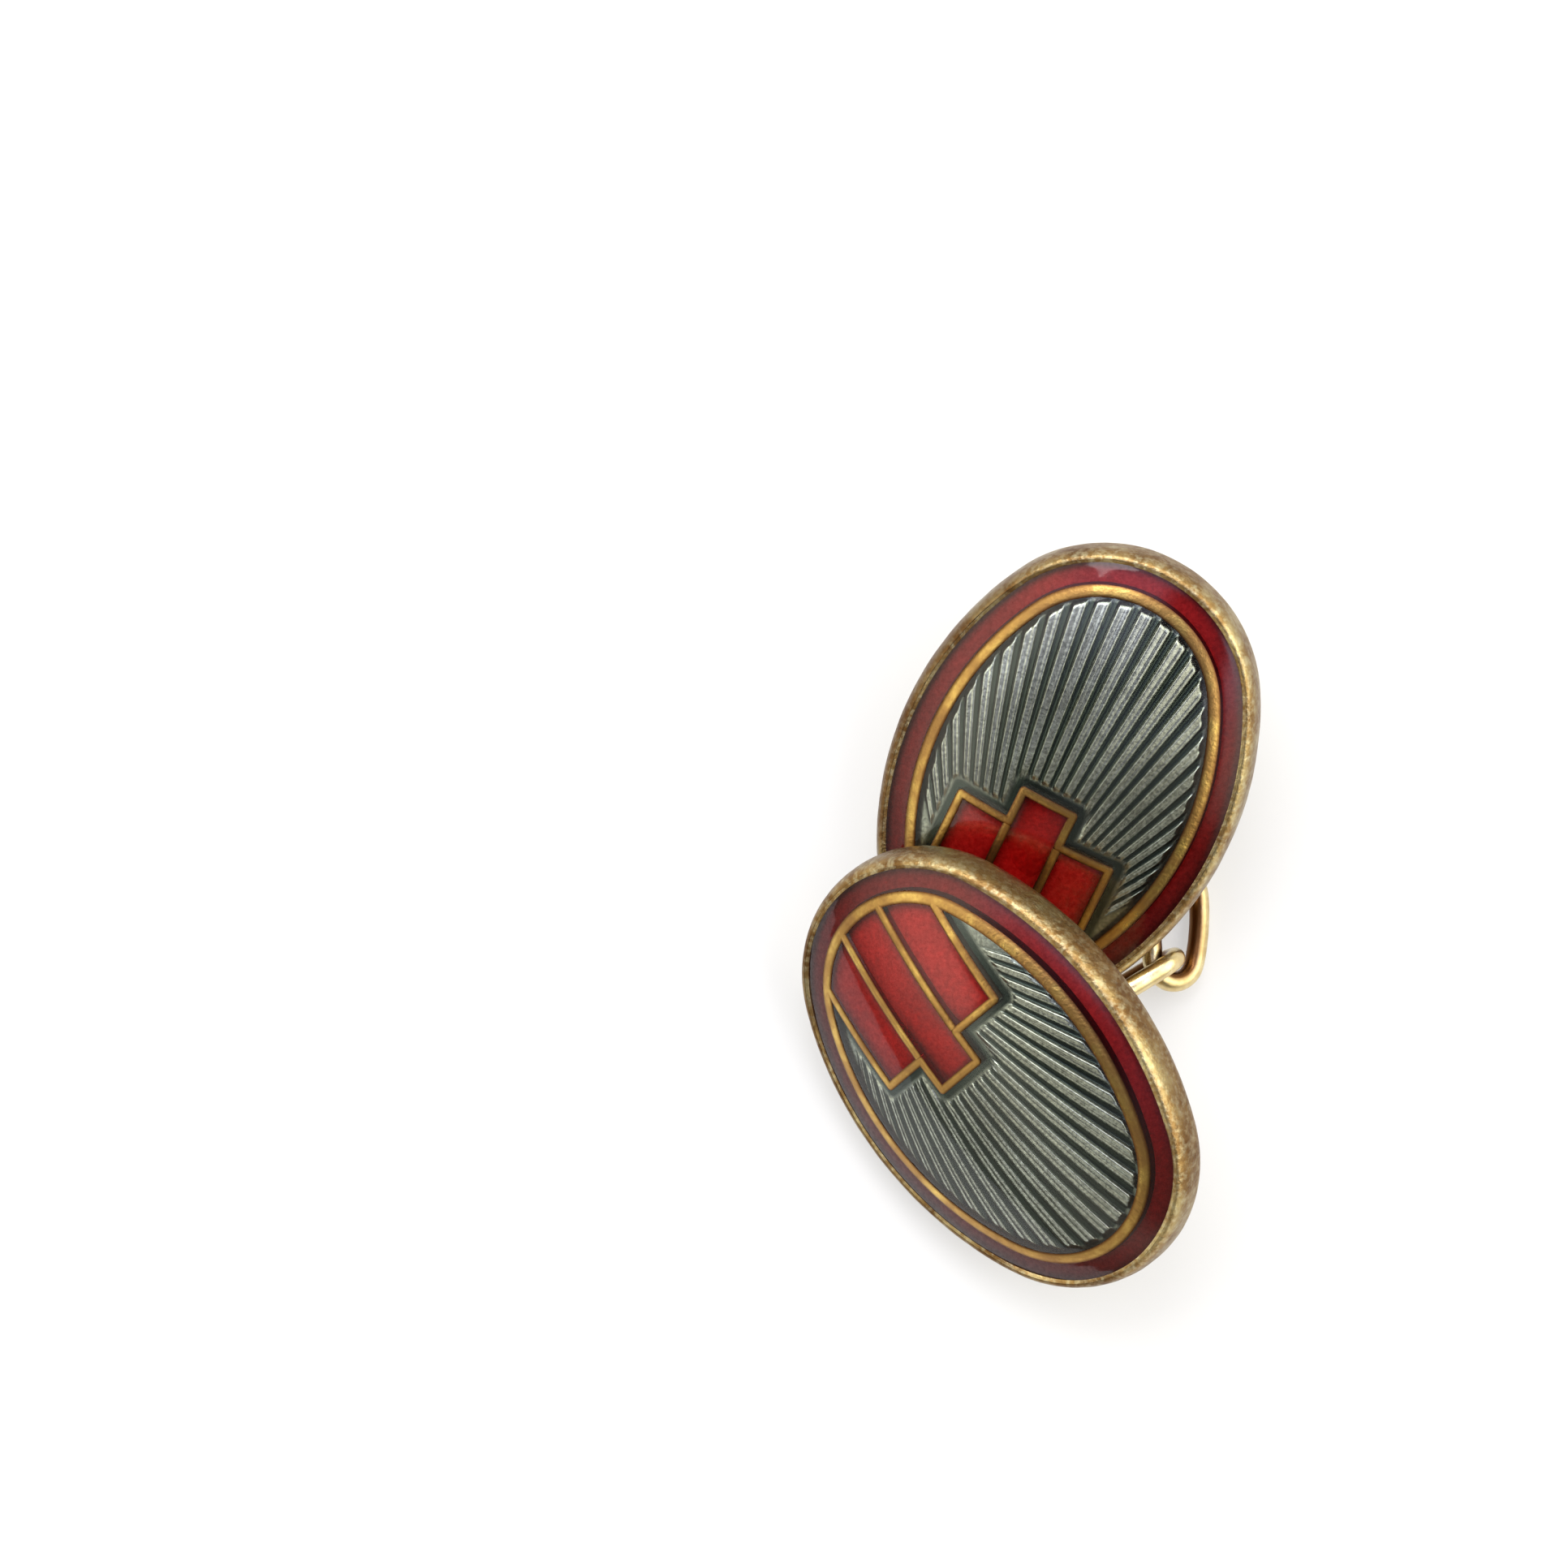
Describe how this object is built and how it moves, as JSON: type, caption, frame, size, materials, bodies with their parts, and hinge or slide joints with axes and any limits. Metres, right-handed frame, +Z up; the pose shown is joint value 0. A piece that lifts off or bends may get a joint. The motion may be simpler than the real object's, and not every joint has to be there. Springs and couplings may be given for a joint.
{
  "type": "chain link cufflink",
  "caption": "Chain-link cufflink: domed oval heads with enamelled stepped bars over a sunray fan, joined behind by a short chain of wire links that passes through a shirt cuff.",
  "frame": {"origin": "middle of the part's box, on the surface that it lies on", "axes": "+Z up out of the heads' faces, +Y from head A, the lower one in the picture, towards head B, +X to the right of the picture"},
  "size_m": [0.0176, 0.0288, 0.0091],
  "materials": {
    "gilt_cup": "worn satin gilt",
    "gilt_plaque": "struck and polished gilt",
    "chain_wire": "polished pale gold",
    "maroon_enamel": "polished dark red enamel",
    "red_enamel": "polished red enamel",
    "grey_green_enamel": "polished clear grey-green enamel"
  },
  "bodies": {
    "head_a": {"head_a_cup": "gilt_cup", "head_a_plaque": "gilt_plaque", "head_a_border_enamel": "maroon_enamel", "head_a_field_enamel": "grey_green_enamel", "head_a_left_bar_enamel": "red_enamel", "head_a_middle_bar_enamel": "red_enamel", "head_a_right_bar_enamel": "red_enamel", "head_a_loop": "chain_wire"},
    "link_a": {"link_a": "chain_wire"},
    "link_middle": {"link_middle": "chain_wire"},
    "link_b": {"link_b": "chain_wire"},
    "head_b": {"head_b_cup": "gilt_cup", "head_b_plaque": "gilt_plaque", "head_b_border_enamel": "maroon_enamel", "head_b_field_enamel": "grey_green_enamel", "head_b_left_bar_enamel": "red_enamel", "head_b_middle_bar_enamel": "red_enamel", "head_b_right_bar_enamel": "red_enamel", "head_b_loop": "chain_wire"}
  },
  "joints": [
    {"name": "link_a_on_head_a", "type": "hinge", "parent": "head_a", "child": "link_a", "pos_m": [0.00031, -0.00481, 0.00212], "axis": [-0.6189, 0.7836, -0.0541], "range_deg": [-15, 75]},
    {"name": "link_middle_on_link_a", "type": "hinge", "parent": "link_a", "child": "link_middle", "pos_m": [0.00544, -0.00151, 0.001], "axis": [-0.4218, -0.1378, -0.8961], "range_deg": [0, 90]},
    {"name": "link_b_on_link_middle", "type": "hinge", "parent": "link_middle", "child": "link_b", "pos_m": [0.00559, 0.00056, 0.00064], "axis": [-0.4654, -0.0801, -0.8815], "range_deg": [0, 90]},
    {"name": "head_b_on_link_b", "type": "hinge", "parent": "link_b", "child": "head_b", "pos_m": [0.00116, 0.0046, 0.00176], "axis": [0.2005, 0.1026, -0.9743], "range_deg": [0, 60]}
  ]
}
